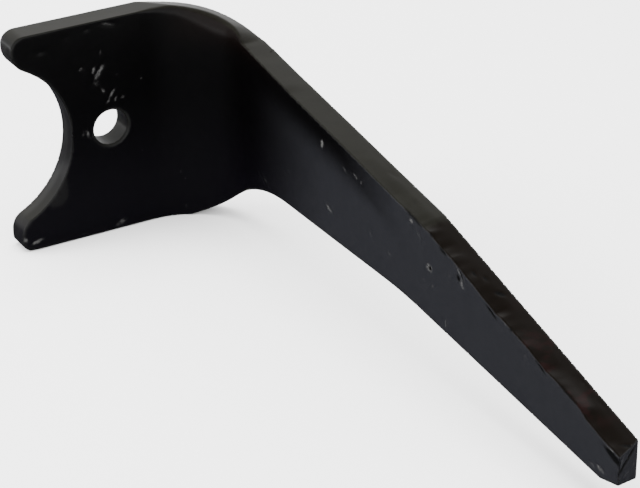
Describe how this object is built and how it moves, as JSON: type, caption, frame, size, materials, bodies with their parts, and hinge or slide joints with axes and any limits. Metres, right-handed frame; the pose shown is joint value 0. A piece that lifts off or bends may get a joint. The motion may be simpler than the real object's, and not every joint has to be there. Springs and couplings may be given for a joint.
{
  "type": "power harrow tine",
  "caption": "Forged L-shaped harrow tine: a flat head plate with a half-round hub notch and a pin hole, bent square into a long, tapering, sheared soil blade.",
  "frame": {"origin": "centre of the pin hole, in the middle of the head plate's thickness", "axes": "+Y along the pin hole, out of the head's outer face, so the blade points along -Y; +X along the head from the hub notch to the bend; +Z across the width, towards the straight back of the head"},
  "size_m": [0.1177, 0.347, 0.1105],
  "materials": {
    "black_paint": "semi-gloss black paint over forged steel"
  },
  "bodies": {
    "root": {"tine": "black_paint"}
  },
  "joints": []
}
